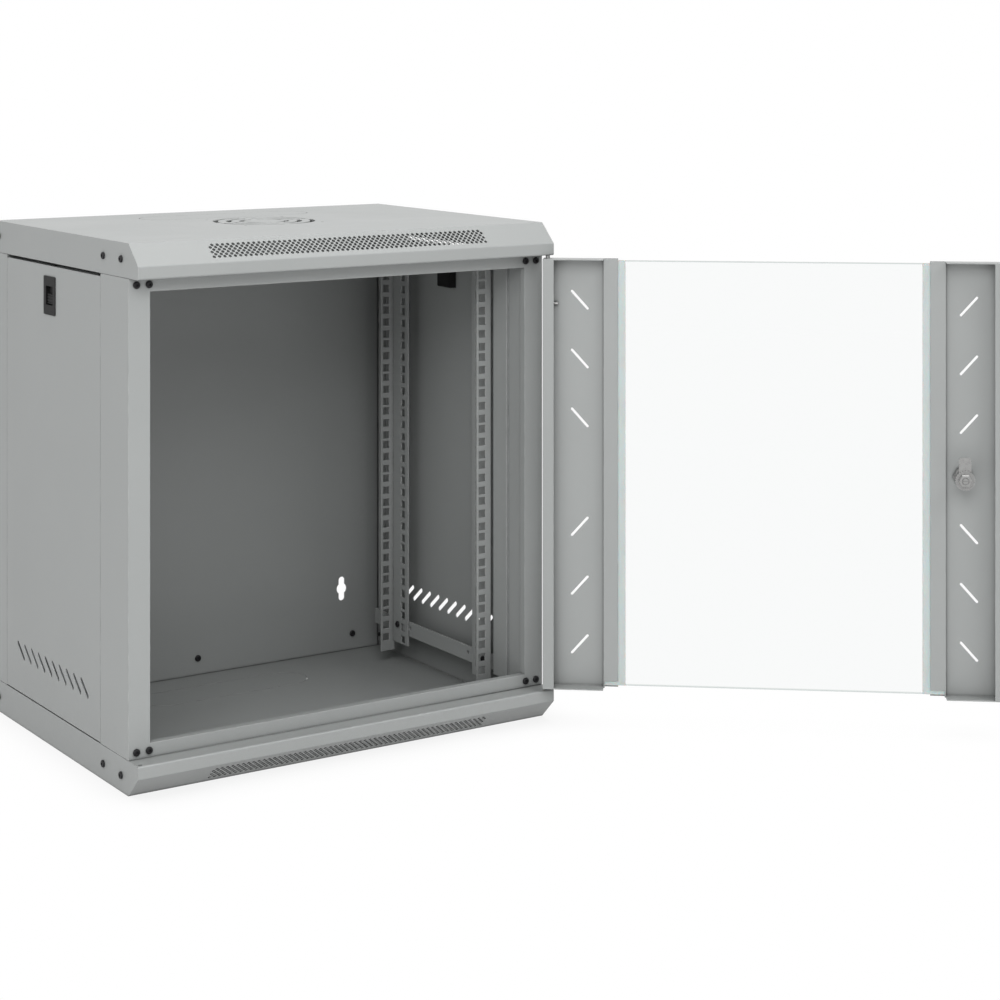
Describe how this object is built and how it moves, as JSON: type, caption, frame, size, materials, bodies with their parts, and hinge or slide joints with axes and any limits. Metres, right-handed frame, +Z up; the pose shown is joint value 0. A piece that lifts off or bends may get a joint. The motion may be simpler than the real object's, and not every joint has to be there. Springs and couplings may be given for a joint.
{
  "type": "server rack cabinet",
  "caption": "Wall-mount network rack cabinet with a glazed hinged door, perforated chamfered covers, slatted lift-off side panels and square-hole rails for 19-inch equipment.",
  "frame": {"origin": "middle of the cabinet's bottom face, the open door not counted", "axes": "+X to the right seen from the front, +Y to the rear wall, +Z up"},
  "size_m": [0.9635, 0.7706, 0.602],
  "materials": {
    "sheet_paint": "fine textured light grey powder coat",
    "black_screw": "black oxide, satin",
    "latch_plastic": "moulded black nylon",
    "gasket_rubber": "translucent soft PVC",
    "clear_glass": "clear toughened glass",
    "zinc_steel": "zinc plated",
    "nylon": "natural nylon",
    "lock_metal": "nickel plated die casting"
  },
  "bodies": {
    "cabinet": {"top_cover": "sheet_paint", "bottom_cover": "sheet_paint", "front_frame": "sheet_paint", "rear_panel": "sheet_paint", "left_front_post": "sheet_paint", "right_front_post": "sheet_paint", "left_rear_post": "sheet_paint", "right_rear_post": "sheet_paint", "front_left_rail": "sheet_paint", "front_right_rail": "sheet_paint", "rear_left_rail": "sheet_paint", "rear_right_rail": "sheet_paint", "lower_left_bracket": "sheet_paint", "lower_right_bracket": "sheet_paint", "upper_left_bracket": "sheet_paint", "upper_right_bracket": "sheet_paint", "front_frame_screws": "black_screw", "top_cover_screws": "black_screw", "bottom_cover_screws": "black_screw", "rear_panel_screws": "black_screw", "rail_screws": "black_screw"},
    "left_panel": {"left_side_panel": "sheet_paint", "left_latch_housing": "latch_plastic"},
    "left_latch": {"left_latch_slider": "latch_plastic"},
    "right_panel": {"right_side_panel": "sheet_paint", "right_latch_housing": "latch_plastic"},
    "right_latch": {"right_latch_slider": "latch_plastic"},
    "door": {"door_hinge_stile": "sheet_paint", "door_lock_stile": "sheet_paint", "hinge_side_gasket": "gasket_rubber", "lock_side_gasket": "gasket_rubber", "door_glass": "clear_glass", "hinge_pin_spring": "zinc_steel", "hinge_pin_guide": "zinc_steel", "bottom_hinge_pin": "zinc_steel", "bottom_hinge_washer": "nylon", "lock_body": "lock_metal", "lock_nut": "lock_metal"},
    "hinge_pin": {"top_hinge_pin": "zinc_steel"},
    "lock_plug": {"lock_rotor": "lock_metal", "lock_cam": "lock_metal", "lock_cam_washer": "lock_metal", "lock_cam_nut": "lock_metal"}
  },
  "joints": [
    {"name": "door_hinge", "type": "hinge", "parent": "cabinet", "child": "door", "pos_m": [0.268, -0.206, 0.301], "axis": [0, 0, 1], "range_deg": [-140.75, 39.25]},
    {"name": "lock_turn", "type": "hinge", "parent": "door", "child": "lock_plug", "pos_m": [0.65163, -0.51944, 0.3045], "axis": [0.6327, 0.7744, 0], "range_deg": [0, 90]},
    {"name": "hinge_pin_slide", "type": "slide", "parent": "door", "child": "hinge_pin", "axis": [0, 0, -1], "range_m": [0, 0.009], "stiffness_N_per_m": 600, "springref_m": -0.006, "deforming": ["hinge_pin_spring"]},
    {"name": "left_panel_slide", "type": "slide", "parent": "cabinet", "child": "left_panel", "axis": [-1, 0, 0], "range_m": [0, 0.15]},
    {"name": "left_latch_slide", "type": "slide", "parent": "left_panel", "child": "left_latch", "axis": [0, 0, 1], "range_m": [0, 0.007]},
    {"name": "right_panel_slide", "type": "slide", "parent": "cabinet", "child": "right_panel", "axis": [1, 0, 0], "range_m": [0, 0.15]},
    {"name": "right_latch_slide", "type": "slide", "parent": "right_panel", "child": "right_latch", "axis": [0, 0, 1], "range_m": [0, 0.007]}
  ]
}
